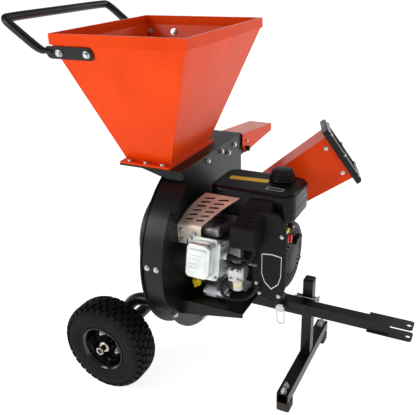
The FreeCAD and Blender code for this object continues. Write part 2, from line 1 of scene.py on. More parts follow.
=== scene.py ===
"""Looks of the tow-behind wood chipper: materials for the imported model's nodes, and detailed pieces that
replace or finish the ones whose real shape is softer or finer than the CAD."""
import json
import math

import bmesh
import bpy
from mathutils import Matrix, Vector


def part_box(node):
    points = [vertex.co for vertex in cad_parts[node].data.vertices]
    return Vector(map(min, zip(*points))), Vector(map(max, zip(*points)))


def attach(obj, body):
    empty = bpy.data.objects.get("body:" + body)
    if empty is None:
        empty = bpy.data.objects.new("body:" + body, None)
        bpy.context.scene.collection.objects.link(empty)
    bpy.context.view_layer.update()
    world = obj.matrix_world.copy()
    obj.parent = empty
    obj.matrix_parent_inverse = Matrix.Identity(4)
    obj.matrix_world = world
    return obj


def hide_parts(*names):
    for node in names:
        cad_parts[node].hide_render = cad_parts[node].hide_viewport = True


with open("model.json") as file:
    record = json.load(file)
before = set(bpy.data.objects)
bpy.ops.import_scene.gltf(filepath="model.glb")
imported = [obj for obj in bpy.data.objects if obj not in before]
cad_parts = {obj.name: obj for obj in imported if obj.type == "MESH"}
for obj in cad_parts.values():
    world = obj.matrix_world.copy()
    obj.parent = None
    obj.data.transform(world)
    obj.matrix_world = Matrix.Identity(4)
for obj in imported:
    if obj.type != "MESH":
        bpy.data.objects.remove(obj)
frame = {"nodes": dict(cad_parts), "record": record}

MM = 0.001
NODES = frame["nodes"]
JOINTS = {joint["name"]: joint for joint in frame["record"]["behaviour"]["joints"]}
AXIS = {"X": Vector((1, 0, 0)), "Y": Vector((0, 1, 0)), "Z": Vector((0, 0, 1))}
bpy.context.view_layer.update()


def pivot(joint):
    return Vector(JOINTS[joint]["pos_m"])


# Millimetres: the housing's plate thickness, and the height of the drum's and the crankshaft's axis
PLATE = 4
DRUM_Z = 383
# The machine's datum: the ground point under the drum axis, at the engine-side housing plate
DATUM = Vector((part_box("housing_band_upper")[1][0] + PLATE * MM, pivot("rotor_spin").y, 0))


def at(x, y, z):
    """A point given in millimetres from the machine's datum."""
    return DATUM + Vector((x, y, z)) * MM


def low(node):
    return Vector(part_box(node)[0])


def high(node):
    return Vector(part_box(node)[1])


# Materials


class Shader:
    """A principled material whose nodes are added one call at a time."""

    def __init__(self, name):
        self.material = bpy.data.materials.new(name)
        self.material.use_nodes = True
        self.nodes = self.material.node_tree.nodes
        self.links = self.material.node_tree.links
        self.bsdf = self.nodes["Principled BSDF"]
        self.place = self.add("ShaderNodeTexCoord").outputs["Object"]

    def add(self, kind, **settings):
        node = self.nodes.new(kind)
        for key, value in settings.items():
            setattr(node, key, value)
        return node

    def set(self, **values):
        for name, value in values.items():
            self.bsdf.inputs[name.replace("_", " ")].default_value = value

    def noise(self, scale, detail, stretch=(1, 1, 1)):
        mapping = self.add("ShaderNodeMapping")
        mapping.inputs["Scale"].default_value = stretch
        self.links.new(self.place, mapping.inputs["Vector"])
        noise = self.add("ShaderNodeTexNoise")
        noise.inputs["Scale"].default_value = scale
        noise.inputs["Detail"].default_value = detail
        self.links.new(mapping.outputs["Vector"], noise.inputs["Vector"])
        return noise.outputs["Fac"]

    def colour(self, factor, stops):
        """Base colour between two stops, each a position and a colour."""
        ramp = self.add("ShaderNodeValToRGB")
        for element, (position, color) in zip(ramp.color_ramp.elements, stops):
            element.position = position
            element.color = (*color, 1)
        self.links.new(factor, ramp.inputs["Fac"])
        self.links.new(ramp.outputs["Color"], self.bsdf.inputs["Base Color"])

    def roughness(self, factor, smooth, rough):
        spread = self.add("ShaderNodeMapRange")
        spread.inputs["To Min"].default_value = smooth
        spread.inputs["To Max"].default_value = rough
        self.links.new(factor, spread.inputs["Value"])
        self.links.new(spread.outputs["Result"], self.bsdf.inputs["Roughness"])

    def relief(self, factor, strength, distance, edge):
        """Bump over softened edges."""
        soft = self.add("ShaderNodeBevel", samples=4)
        soft.inputs["Radius"].default_value = edge
        bump = self.add("ShaderNodeBump")
        bump.inputs["Strength"].default_value = strength
        bump.inputs["Distance"].default_value = distance
        self.links.new(factor, bump.inputs["Height"])
        self.links.new(soft.outputs["Normal"], bump.inputs["Normal"])
        self.links.new(bump.outputs["Normal"], self.bsdf.inputs["Normal"])


def painted(name, dark, light, smooth, rough, coat, peel, grain, gloss=0.3):
    """Paint or powder coat: faint blotches, uneven gloss and a fine peel in the surface."""
    shader = Shader(name)
    shader.colour(shader.noise(7, 5), [(0.3, dark), (0.75, light)])
    shader.roughness(shader.noise(24, 6), smooth, rough)
    shader.relief(shader.noise(grain, 3), peel, distance=0.0006, edge=0.0014)
    shader.set(Coat_Weight=coat, Coat_Roughness=0.12, Specular_IOR_Level=gloss)
    return shader.material


def metal(name, dark, light, smooth, rough, grain, stretch=(1, 1, 1), bump=0.15, metallic=1.0):
    """Metal: uneven tone and gloss, with a grain that a stretch can draw out."""
    shader = Shader(name)
    shader.colour(shader.noise(30, 5), [(0.3, dark), (0.8, light)])
    shader.roughness(shader.noise(grain, 5, stretch), smooth, rough)
    shader.relief(shader.noise(grain, 4, stretch), bump, distance=0.0005, edge=0.0008)
    shader.set(Metallic=metallic)
    return shader.material


ORANGE = painted("orange_paint", (0.72, 0.047, 0.002), (0.84, 0.066, 0.003), 0.24, 0.36, 0.06, 0.02, 900,
                 gloss=0.07)
BLACK = painted("black_powder_coat", (0.0025, 0.0026, 0.003), (0.006, 0.006, 0.007), 0.28, 0.42, 0.06, 0.2, 900,
                gloss=0.22)
GLOSS_BLACK = painted("gloss_black_paint", (0.003, 0.003, 0.003), (0.008, 0.008, 0.008), 0.1, 0.2, 0.6, 0.04, 300)
TANK = painted("tank_enamel", (0.0025, 0.0026, 0.003), (0.005, 0.005, 0.006), 0.24, 0.36, 0.08, 0.06, 500,
               gloss=0.12)
PLASTIC = painted("black_plastic", (0.004, 0.004, 0.0045), (0.009, 0.009, 0.01), 0.36, 0.5, 0.0, 0.4, 1500,
                  gloss=0.14)
RUBBER = painted("rubber", (0.005, 0.005, 0.005), (0.014, 0.0135, 0.013), 0.55, 0.75, 0.0, 0.4, 700)
TYRE = painted("tyre_rubber", (0.005, 0.005, 0.005), (0.015, 0.0147, 0.0143), 0.62, 0.85, 0.0, 0.5, 500,
               gloss=0.12)
SOLE = painted("foot_rubber", (0.03, 0.019, 0.014), (0.075, 0.05, 0.038), 0.7, 0.9, 0.0, 0.5, 400)
ZINC = metal("zinc_plate", (0.48, 0.49, 0.5), (0.72, 0.72, 0.7), 0.22, 0.42, 90)
STEEL = metal("bare_steel", (0.2, 0.2, 0.21), (0.42, 0.42, 0.43), 0.3, 0.5, 60, (1, 8, 8))
CAST = metal("cast_aluminium", (0.5, 0.51, 0.53), (0.74, 0.75, 0.77), 0.34, 0.55, 260, bump=0.4)
SATIN = metal("bead_blasted_aluminium", (0.62, 0.66, 0.64), (0.8, 0.84, 0.82), 0.3, 0.42, 500, bump=0.25)
GUARD = metal("heat_tinted_steel", (0.66, 0.56, 0.46), (0.9, 0.83, 0.74), 0.42, 0.56, 40, (1, 6, 6), 0.1, 0.72)
BRASS = metal("yellow_zinc", (0.5, 0.45, 0.3), (0.74, 0.69, 0.52), 0.25, 0.4, 120)
YELLOW = painted("yellow_plastic", (0.8, 0.55, 0.005), (0.9, 0.66, 0.01), 0.28, 0.4, 0.2, 0.1, 400)
RED = painted("red_plastic", (0.5, 0.012, 0.006), (0.62, 0.02, 0.01), 0.25, 0.38, 0.3, 0.1, 400)
CERAMIC = painted("white_ceramic", (0.74, 0.74, 0.72), (0.86, 0.86, 0.84), 0.12, 0.25, 0.4, 0.03, 200)
LABEL = painted("blank_label", (0.62, 0.66, 0.7), (0.78, 0.8, 0.83), 0.3, 0.42, 0.1, 0.05, 300)

NODE_MATERIALS = {
    ORANGE: "hopper chipper_chute deflector",
    BLACK: "housing_plate housing_back_plate housing_band_upper housing_band_lower hub_cover throat "
           "discharge_duct chute_base chute_frame engine_shelf receiver_tube axle_frame tow_tube stand_leg "
           "hopper_handle",
    GLOSS_BLACK: "rim_near rim_far",
    TYRE: "tyre_near tyre_far",
    RUBBER: "chute_flap spark_lead fuel_hose",
    SOLE: "stand_feet",
    ZINC: "frame_bolts axle_nuts foot_bolts tow_pin tow_pin_wire leg_pin leg_pin_wire throttle_lever",
    STEEL: "crankshaft rotor_disc chipper_knives hammer_pins hammers_a hammers_b flywheel muffler",
    CAST: "engine_block cylinder_head carburetor oil_level_unit",
    SATIN: "valve_cover",
    GUARD: "muffler_guard",
    PLASTIC: "air_filter_cover fan_shroud recoil_cover fuel_cap deflector_knob leg_cap recoil_handle",
    TANK: "fuel_tank",
    YELLOW: "dipstick choke_lever",
    RED: "engine_switch",
    CERAMIC: "spark_plug",
}


def dress_nodes():
    """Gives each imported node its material."""
    for material, names in NODE_MATERIALS.items():
        for name in names.split():
            mesh = NODES[name].data
            mesh.materials.clear()
            mesh.materials.append(material)


# Mesh building


def turn_to(axis):
    """The rotation that takes +Z to an axis."""
    return Vector((0, 0, 1)).rotation_difference(Vector(axis)).to_matrix().to_4x4()


def new_object(name, data):
    obj = bpy.data.objects.new(name, data)
    bpy.context.scene.collection.objects.link(obj)
    return obj


def round_edges(obj, width, segments, angle=30, harden=True):
    """A bevel on the edges that turn by more than an angle in degrees."""
    modifier = obj.modifiers.new("Edges", "BEVEL")
    modifier.width = width
    modifier.segments = segments
    modifier.limit_method = "ANGLE"
    modifier.angle_limit = math.radians(angle)
    modifier.harden_normals = harden


def piece(name, mesh, material, body, bevel=0.0, segments=2, smooth=35):
    """An object of the machine from a bmesh, with rounded edges, riding on a body."""
    data = bpy.data.meshes.new(name)
    bmesh.ops.recalc_face_normals(mesh, faces=mesh.faces)
    mesh.to_mesh(data)
    mesh.free()
    data.materials.append(material)
    obj = new_object(name, data)
    data.shade_smooth()
    data.set_sharp_from_angle(angle=math.radians(smooth))
    if bevel:
        round_edges(obj, bevel, segments)
    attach(obj, body)
    return obj


def add_box(mesh, centre, size):
    made = bmesh.ops.create_cube(mesh, size=1)["verts"]
    matrix = Matrix.Translation(centre) @ Matrix.Diagonal((*size, 1))
    bmesh.ops.transform(mesh, matrix=matrix, verts=made)
    return made


def add_rod(mesh, start, end, radius, sides=24, radius_end=None):
    start, end = Vector(start), Vector(end)
    made = bmesh.ops.create_cone(mesh, cap_ends=True, segments=sides, radius1=radius,
                                 radius2=radius if radius_end is None else radius_end,
                                 depth=(end - start).length)["verts"]
    matrix = Matrix.Translation((start + end) / 2) @ turn_to(end - start)
    bmesh.ops.transform(mesh, matrix=matrix, verts=made)
    return made


def add_lathe(mesh, profile, centre, axis, steps=64):
    """A closed profile of (distance along the axis, radius) pairs in millimetres, turned about an axis."""
    turn = turn_to(axis)
    rings = []
    for step in range(steps):
        angle = math.tau * step / steps
        ring = []
        for along, radius in profile:
            point = Vector((radius * math.cos(angle), radius * math.sin(angle), along)) * MM
            ring.append(mesh.verts.new(Vector(centre) + turn @ point))
        rings.append(ring)
    count = len(profile)
    for step in range(steps):
        near, far = rings[step], rings[(step + 1) % steps]
        for index in range(count):
            after = (index + 1) % count
            mesh.faces.new((near[index], near[after], far[after], far[index]))
    bmesh.ops.remove_doubles(mesh, verts=mesh.verts, dist=1e-6)


def add_grip(mesh, profile, place, lobes, steps, sharpness):
    """A grooved grip through rings of (distance along its Z, radius, groove depth) in millimetres."""
    rings = []
    for along, radius, depth in profile:
        ring = []
        for step in range(steps):
            angle = math.tau * step / steps
            reach = radius - depth * (0.5 + 0.5 * math.cos(lobes * angle)) ** sharpness
            point = Vector((reach * math.cos(angle), reach * math.sin(angle), along)) * MM
            ring.append(mesh.verts.new(place @ point))
        rings.append(ring)
    for lower, upper in zip(rings, rings[1:]):
        for step in range(steps):
            after = (step + 1) % steps
            mesh.faces.new((lower[step], lower[after], upper[after], upper[step]))
    mesh.faces.new(rings[0][::-1])
    mesh.faces.new(rings[-1])


def add_prism(mesh, outline, depth, matrix):
    """A flat outline in millimetres, given thickness along its own +Z, then placed."""
    bottom = [mesh.verts.new(matrix @ (Vector((x, y, 0)) * MM)) for x, y in outline]
    top = [mesh.verts.new(matrix @ (Vector((x, y, depth)) * MM)) for x, y in outline]
    count = len(outline)
    mesh.faces.new(bottom[::-1])
    mesh.faces.new(top)
    for index in range(count):
        after = (index + 1) % count
        mesh.faces.new((bottom[index], bottom[after], top[after], top[index]))


def slab(name, outline, depth, matrix, material, body, bevel=0.0, segments=2):
    """A piece that is one prism."""
    mesh = bmesh.new()
    add_prism(mesh, outline, depth, matrix)
    return piece(name, mesh, material, body, bevel, segments)


def turned(name, profile, centre, axis, material, body, steps=64, smooth=35):
    """A piece that is one turned profile."""
    mesh = bmesh.new()
    add_lathe(mesh, profile, centre, axis, steps)
    return piece(name, mesh, material, body, smooth=smooth)


def frame_of(origin, x_axis, y_axis):
    """A placement whose own X and Y lie along two directions."""
    x = Vector(x_axis).normalized()
    z = x.cross(Vector(y_axis)).normalized()
    y = z.cross(x)
    matrix = Matrix((x, y, z)).transposed().to_4x4()
    matrix.translation = origin
    return matrix


def lifted(matrix, distance):
    """A placement moved along its own Z by some millimetres."""
    return matrix @ Matrix.Translation((0, 0, distance * MM))


def rounded(width, height, radius, corner=5):
    """The outline of a rectangle with round corners, centred on zero."""
    points = []
    for sx, sy, start in ((1, 1, 0), (-1, 1, 90), (-1, -1, 180), (1, -1, 270)):
        for step in range(corner + 1):
            angle = math.radians(start + 90 * step / corner)
            points.append((sx * (width / 2 - radius) + radius * math.cos(angle),
                           sy * (height / 2 - radius) + radius * math.sin(angle)))
    return points


def slot_outline(length, width, centre=(0, 0), lean=0):
    """A slot with round ends, leaning by some degrees."""
    points = []
    for side in (1, -1):
        for step in range(7):
            angle = math.radians(-90 * side + 180 * step / 6)
            x = side * (length - width) / 2 + width / 2 * math.cos(angle)
            y = width / 2 * math.sin(angle)
            points.append((x, y))
    spin = Matrix.Rotation(math.radians(lean), 2)
    return [tuple(spin @ Vector(point) + Vector(centre)) for point in points]


def carve(obj, outlines, matrix, depth=20):
    """Cuts prisms out of a piece for good."""
    mesh = bmesh.new()
    for outline in outlines:
        add_prism(mesh, outline, depth, lifted(matrix, -depth / 2))
    bmesh.ops.recalc_face_normals(mesh, faces=mesh.faces)
    data = bpy.data.meshes.new("cutter")
    mesh.to_mesh(data)
    mesh.free()
    cutter = new_object("cutter", data)
    modifier = obj.modifiers.new("Slots", "BOOLEAN")
    modifier.object = cutter
    modifier.operation = "DIFFERENCE"
    modifier.solver = "EXACT"
    graph = bpy.context.evaluated_depsgraph_get()
    shape = bpy.data.meshes.new_from_object(obj.evaluated_get(graph))
    obj.modifiers.clear()
    obj.data = shape
    bpy.data.objects.remove(cutter)
    if not shape.polygons:
        raise ValueError(f"the cut left nothing of {obj.name}")
    shape.set_sharp_from_angle(angle=math.radians(35))


def hex_bolt(mesh, seat, axis, across, height, washer, spin=15):
    """A hexagonal head with a chamfered crown, on a washer where one has a radius."""
    axis = Vector(axis).normalized()
    radius = across / math.sqrt(3) * MM
    washer_height, chamfer_start, crown = 1.5, 0.78, 0.84
    if washer:
        add_rod(mesh, seat, seat + axis * washer_height * MM, washer * MM, 28)
    base = seat + axis * (washer_height if washer else 0) * MM
    centre = Matrix.Translation(base)
    turn = centre @ Matrix.Rotation(math.radians(spin), 4, axis) @ centre.inverted()
    for start, end, end_radius in ((0, chamfer_start, radius), (chamfer_start, 1, radius * crown)):
        made = add_rod(mesh, base + axis * height * start * MM, base + axis * height * end * MM, radius, 6,
                       end_radius)
        bmesh.ops.transform(mesh, verts=made, matrix=turn)


def bent_curve(name, points, radius, material):
    """A round curve on a smooth line through control points."""
    curve = bpy.data.curves.new(name, "CURVE")
    curve.dimensions = "3D"
    curve.bevel_depth = radius * MM
    curve.bevel_resolution = 5
    curve.use_fill_caps = True
    spline = curve.splines.new("NURBS")
    spline.points.add(len(points) - 1)
    for target, point in zip(spline.points, points):
        target.co = (*point, 1)
    spline.order_u = 3
    spline.use_endpoint_u = True
    spline.resolution_u = 12
    curve.materials.append(material)
    return new_object(name, curve)


def wire(name, points, radius, material, body):
    """A bent wire or tube that rides on a body."""
    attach(bent_curve(name, points, radius, material), body)


def tapered_tube(name, points, sizes, radius, material, body):
    """A tube whose thickness changes along it, as a finished mesh."""
    line = bent_curve(name + "_line", points, radius, material)
    for point, thick in zip(line.data.splines[0].points, sizes):
        point.radius = thick
    bpy.context.view_layer.update()
    mesh = bpy.data.meshes.new_from_object(line.evaluated_get(bpy.context.evaluated_depsgraph_get()))
    bpy.data.objects.remove(line)
    mesh.shade_smooth()
    obj = new_object(name, mesh)
    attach(obj, body)
    return obj


# Wheels


def tyre(side):
    """A knobbly tyre: a carcass with moulded rings, and staggered rows of square lugs."""
    hub = pivot(f"wheel_{side}_spin")
    body = f"wheel_{side}"
    half = [(0, 126.5), (14, 126.2), (26, 124.5), (35, 120), (40, 112), (42.6, 103), (43.4, 94), (42.2, 92.6),
            (42.6, 90.5), (43, 84), (41.4, 82.6), (41.2, 78), (39.5, 72), (38.5, 67.5), (36.5, 64.5), (31, 61)]
    profile = half + [(-along, radius) for along, radius in half[:0:-1]]
    carcass = turned(f"tyre_{side}_carcass", profile, hub, AXIS["Y"], TYRE, body, 96, 50)
    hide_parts(f"tyre_{side}")

    mesh = bmesh.new()
    lugs_around, lug_height = 34, 5.6
    # Each row: distance from the middle, stagger, lug length and width, radius, lean in degrees
    rows = ((8.6, 0, 18.6, 14.6, 128.6, 0), (24.4, 0.5, 18.4, 13.6, 127.4, 13), (36.6, 0, 17, 12.5, 120.6, 52))
    for step in range(lugs_around):
        for along, shift, length, width, radius, lean in rows:
            for flip in (-1, 1):
                stagger = shift + (0.5 if flip > 0 else 0)
                angle = math.tau * (step + stagger) / lugs_around
                spin = Matrix.Rotation(angle, 4, "Y")
                tilt = Matrix.Rotation(math.radians(-lean * flip), 4, "X")
                centre = Vector((0, flip * along, radius)) * MM
                place = Matrix.Translation(hub) @ spin @ Matrix.Translation(centre) @ tilt
                made = add_box(mesh, Vector(), Vector((length, width, lug_height)) * MM)
                bmesh.ops.transform(mesh, matrix=place, verts=made)
    piece(f"tyre_{side}_lugs", mesh, TYRE, body, 0.0011, 2)


def rim(side, outward):
    """A pressed split rim: rolled flanges, dished centre, clamping nuts and a bearing sleeve."""
    hub = pivot(f"wheel_{side}_spin")
    body = f"wheel_{side}"
    out = AXIS["Y"] * outward
    profile = [(-34, 61), (-38, 64), (-40.5, 66), (-41.5, 64), (-39, 61.5), (-34, 57), (-26, 54), (-8, 53.2),
               (-4, 50), (-2, 44), (-1, 24), (3, 19), (24, 18), (29, 16.5), (30, 14.5), (30, 8.1), (-30, 8.1),
               (-30, 17), (-6, 18), (-5, 44), (-7, 50), (-9, 56), (26, 57), (34, 57.5), (39, 61.5), (41.5, 64),
               (40.5, 66), (38, 64), (34, 61)]
    shell = turned(f"rim_{side}_shell", profile, hub, out, GLOSS_BLACK, body, 96, 40)
    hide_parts(f"rim_{side}")
    mesh = bmesh.new()
    nut_circle = 34
    for step in range(4):
        angle = math.radians(45 + 90 * step)
        seat = (hub + Vector((nut_circle * math.cos(angle), 0, nut_circle * math.sin(angle))) * MM
                + out * -1.2 * MM)
        hex_bolt(mesh, seat, out, 13, 6.5, 8.2, spin=20 * step)
        add_rod(mesh, seat, seat + out * 13 * MM, 3.6 * MM, 16)
    piece(f"rim_{side}_nuts", mesh, ZINC, body, 0.0003, 1)
    sleeve = [(30, 8.4), (32.5, 8.4), (33, 12), (31, 15), (30, 15)]
    turned(f"rim_{side}_bearing", sleeve, hub, out, BRASS, body, 48)
    mesh = bmesh.new()
    valve = hub + Vector((48, 0, 14)) * MM
    add_rod(mesh, valve - out * 4 * MM, valve + out * 22 * MM, 3.6 * MM, 16, 2.6 * MM)
    add_rod(mesh, valve + out * 22 * MM, valve + out * 29 * MM, 3.3 * MM, 16)
    piece(f"rim_{side}_valve", mesh, RUBBER, body, 0.0004, 1)


# Housing, hopper and chute


def housing_trim():
    """The bolts of the housing's side plate, and two on its rim."""
    mesh = bmesh.new()
    for y, z in ((17, 612), (103, 614), (193, 608), (150, 596), (-202, 248), (-43, 141), (120, 180)):
        hex_bolt(mesh, at(0, y, z), AXIS["X"], 12, 5.6, 8, spin=y)
    turn, rim_radius = math.radians(175), 251
    for x in (-45, -18):
        seat = at(x, rim_radius * math.cos(turn), DRUM_Z + rim_radius * math.sin(turn))
        hex_bolt(mesh, seat, (0, math.cos(turn), math.sin(turn)), 10, 4.4, 7.5, spin=x)
    piece("housing_bolts", mesh, ZINC, "root", 0.0003, 1)


def hopper_trim():
    """Seams along the hopper's corners and foot, and its handle with plates and bolts."""
    middle_x = -110
    mesh = bmesh.new()
    for sx in (-1, 1):
        for sy in (-1, 1):
            base = at(middle_x + sx * 67.4, sy * 108.4, 638)
            top = at(middle_x + sx * 181.4, sy * 214.4, 944)
            add_rod(mesh, base, top, 1.5 * MM, 10)
    corners = ((-1, -1), (1, -1), (1, 1), (-1, 1))
    ring = [at(middle_x + sx * 68.2, sy * 109.2, 636.6) for sx, sy in corners]
    for first, last in zip(ring, ring[1:] + ring[:1]):
        add_rod(mesh, first, last, 1.6 * MM, 10)
    piece("hopper_seams", mesh, ORANGE, "root")

    # The side walls flare outwards from the foot; the plates sit on them at one height
    flare, rise, foot_y, foot_z, plate_z = 106, 309, 109, 636, 925
    lean = math.atan(flare / rise)
    wall_y = foot_y + flare / rise * (plate_z - foot_z)
    bolts = bmesh.new()
    plates = bmesh.new()
    for side in (-1, 1):
        outward = Vector((0, side * math.cos(lean), -math.sin(lean)))
        up_wall = Vector((0, side * math.sin(lean), math.cos(lean)))
        for x in (-276, -194):
            foot = at(x, side * wall_y, plate_z)
            hex_bolt(bolts, foot + outward * 4.6 * MM, outward, 13, 5.5, 9.5, spin=x)
            hex_bolt(bolts, foot - outward * 5.4 * MM, -outward, 13, 7, 9.5, spin=x)
        middle = at(-246.5, side * wall_y, plate_z) + outward * 0.4 * MM
        add_prism(plates, rounded(140, 33, 12, 6), 4, frame_of(middle, AXIS["X"] * -side, up_wall))
    piece("handle_bolts", bolts, ZINC, "root", 0.0003, 1)
    piece("handle_plates", plates, BLACK, "root", 0.0008, 2)

    # Half of the tube's line: x, share of its half width, z, share of its radius
    half_width, tube_radius = 214, 11
    half = [(-296, 1, 927, 0.34), (-312, 1, 927, 0.55), (-334, 1, 930, 1), (-386, 1.01, 967, 1),
            (-432, 1.02, 1000, 1), (-435, 0.92, 1002, 1)]
    route = [(x, -across, z, thick) for x, across, z, thick in half] + [(-435, 0, 1002, 1)] + half[::-1]
    points = [at(x, half_width * across, z) for x, across, z, thick in route]
    sizes = [thick for x, across, z, thick in route]
    grip = tapered_tube("handle_tube", points, sizes, tube_radius, BLACK, "root")
    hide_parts("hopper_handle")


def chute_frame_of():
    """The chute's own axes: across, up across its section, and along it, from its root."""
    pitch, yaw = math.radians(35), math.radians(20)
    along = Vector((math.cos(pitch) * math.cos(yaw), math.cos(pitch) * math.sin(yaw), math.sin(pitch)))
    across = Vector((-math.sin(yaw), math.cos(yaw), 0))
    return frame_of(at(0, 98, 385), across, along.cross(across))


def chute_trim():
    """The chute's bolts, the plate round its mouth and the slit rubber behind it."""
    place = chute_frame_of()
    mouth, rubber, collar = 416, 413, 386
    mesh = bmesh.new()
    along = place.to_3x3() @ Vector((0, 0, 1))
    for x, y in ((-50, 70), (50, 70), (-50, -70), (50, -70), (-51, 0), (51, 0)):
        hex_bolt(mesh, place @ (Vector((x, y, mouth)) * MM), along, 10, 4.5, 6.6, spin=x + y)
    across = place.to_3x3() @ Vector((1, 0, 0))
    for y in (-42, 42):
        for side in (-1, 1):
            hex_bolt(mesh, place @ (Vector((side * 45, y, collar)) * MM), across * side, 8, 3.5, 6, spin=y)
    piece("chute_bolts", mesh, ZINC, "root", 0.0003, 1)
    trim = slab("chute_mouth_plate", rounded(113, 174, 9), 2.6, lifted(place, mouth), BLACK, "root")
    carve(trim, [rounded(74, 124, 6)], lifted(place, mouth))
    flap = slab("chute_rubber", rounded(86, 134, 4), 2.4, lifted(place, rubber), RUBBER, "root")
    # One slit at a time, because slits that cross in one cutter leave nothing of the rubber
    for length, lean in ((108, 90), (58, 0), (76, 45), (76, -45)):
        carve(flap, [slot_outline(length, 1.6, lean=lean)], lifted(place, rubber))
    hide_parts("chute_flap")


# Engine

# The cylinder's own axes: from the crankshaft, with the bore tipped from the horizontal
BANK = Matrix.Translation(at(0, 0, DRUM_Z)) @ Matrix.Rotation(math.radians(-13), 4, "X")


def valve_cover():
    """A pressed cover with soft corners, a raised panel and bolted ears."""
    face = BANK @ frame_of(Vector((78, -178, 0)) * MM, AXIS["X"], AXIS["Z"])
    flange = slab("valve_cover_flange", rounded(92, 108, 16), 5, face, SATIN, "root", 0.0012)
    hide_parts("valve_cover")
    slab("valve_cover_body", rounded(66, 90, 15, 8), 36, lifted(face, 4), SATIN, "root", 0.006, 5)
    panel = slab("valve_cover_panel", rounded(52, 62, 8, 6), 4, lifted(face, 38), SATIN, "root", 0.0016, 3)
    ribs = [slot_outline(40, 4, (0, y)) for y in (-16, -6, 6, 16)]
    carve(panel, ribs, lifted(face, 42), 3)
    mesh = bmesh.new()
    out = (face.to_3x3() @ Vector((0, 0, 1))).normalized()
    for sx in (-1, 1):
        for sy in (-1, 1):
            seat = face @ (Vector((sx * 38, sy * 46, 5)) * MM)
            hex_bolt(mesh, seat, out, 9, 6, 6.5, spin=sx * 20 + sy * 7)
    piece("valve_cover_bolts", mesh, ZINC, "root", 0.0003, 1)


def head_details():
    """The bolt bosses on the cylinder head, and the spark plug's boot."""
    mesh = bmesh.new()
    for sx in (-1, 1):
        for sz in (-1, 1):
            start = BANK @ (Vector((78 + sx * 40, -176, sz * 34)) * MM)
            end = BANK @ (Vector((78 + sx * 40, -146, sz * 34)) * MM)
            add_rod(mesh, end, start, 6 * MM, 20)
    piece("head_bosses", mesh, CAST, "root", 0.0008, 2)
    boot = [(-18, 8.2), (-6, 9), (-4, 7), (6, 6.6), (10, 5), (16, 4.4), (18, 0.1), (-18, 0.1)]
    turned("plug_boot", boot, at(154, -153.6, 428.7), AXIS["X"], RUBBER, "root", 32)


def guard():
    """The exhaust guard: one bent sheet with rows of slots."""
    # Stations up the sheet: y, z, left edge, right edge
    rows = [(-165, 449, 3, 25), (-165, 466, 1, 29), (-165, 471, 1, 66), (-165, 474, 1, 68), (-165, 496, 1, 68),
            (-163.6, 501.2, 1.4, 68.6), (-160, 504.6, 2.4, 70), (-155, 508, 3.9, 73), (-128, 526.5, 10, 92),
            (-100, 542.5, 21.5, 112), (-74, 554.6, 34, 131.6), (-70, 556.6, 35.6, 134)]
    columns = 6
    mesh = bmesh.new()
    strips = []
    for y, z, left, right in rows:
        strips.append([mesh.verts.new(at(left + (right - left) * part / columns, y, z))
                       for part in range(columns + 1)])
    for lower, upper in zip(strips, strips[1:]):
        for index in range(columns):
            mesh.faces.new((lower[index], lower[index + 1], upper[index + 1], upper[index]))
    obj = piece("exhaust_guard", mesh, GUARD, "root", smooth=60)
    modifier = obj.modifiers.new("Sheet", "SOLIDIFY")
    modifier.thickness = 0.0016
    modifier.offset = 0
    tip = math.radians(29.5)
    slope = frame_of(at(0, -165, 503), AXIS["X"], (0, math.cos(tip), math.sin(tip)))
    slope_length = 109
    slots = []
    for row in range(6):
        up = 20 + 14.6 * row
        left = 1 + 34 * up / slope_length
        width = 67 + 30 * up / slope_length
        for share in (0.27, 0.7):
            slots.append(slot_outline(width * 0.32, 6, (left + width * share, up), 8))
    carve(obj, slots, slope)
    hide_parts("muffler_guard")
    mesh = bmesh.new()
    for x, z in ((12, 459), (50, 482), (12, 486)):
        hex_bolt(mesh, at(x, -166, z), -AXIS["Y"], 9, 4.5, 7, spin=x)
    piece("guard_bolts", mesh, ZINC, "root", 0.0003, 1)


def muffler_body():
    """The silencer's soft-cornered box and its outlet."""
    face = frame_of(at(62, -111, 469), AXIS["X"], AXIS["Y"])
    body = slab("muffler_shell", rounded(94, 76, 20, 8), 29, face, STEEL, "root", 0.006, 4)
    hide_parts("muffler")
    port = [(449, 9), (471, 9), (471, 14), (469, 20), (452, 14)]
    turned("exhaust_port", port, at(60, -105, 0), AXIS["Z"], CAST, "root", 32)


def filter_cover():
    """The air filter's moulded box with a louvred sloping lid."""
    # The box's outline from the side: y, z, and how far it is spread to the right
    side = [(-149, 454, 0), (-150, 462, 0), (-150, 500, 0), (-147, 508, 0.02), (-139, 514, 0.1), (-76, 559, 0.95),
            (-70, 562, 1), (-70, 454, 0.6)]
    mesh = bmesh.new()
    left = [mesh.verts.new(at(141 + 20 * flare, y, z)) for y, z, flare in side]
    right = [mesh.verts.new(at(206 + 20 * flare, y, z)) for y, z, flare in side]
    mesh.faces.new(left)
    mesh.faces.new(right[::-1])
    for index in range(len(side)):
        after = (index + 1) % len(side)
        mesh.faces.new((left[index], right[index], right[after], left[after]))
    box = piece("filter_box", mesh, PLASTIC, "root")
    lid = frame_of(at(176, -141, 513), (1, 0.02, 0), (0.22, 63, 45))
    slots = []
    for row in range(6):
        for start in (-14, 11):
            slots.append(slot_outline(19, 4.8, (start + 2.6 * row, 9 + 11.5 * row), 10))
    carve(box, slots, lid, 7)
    round_edges(box, 0.0022, 3, angle=50, harden=False)
    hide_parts("air_filter_cover")
    mesh = bmesh.new()
    add_box(mesh, at(173.3, -110, 470), Vector((65.5, 82, 3)) * MM)
    for x in (146, 200):
        add_box(mesh, at(x, -148.5, 476), Vector((9, 5, 26)) * MM)
    piece("filter_clips", mesh, PLASTIC, "root", 0.0012, 2)


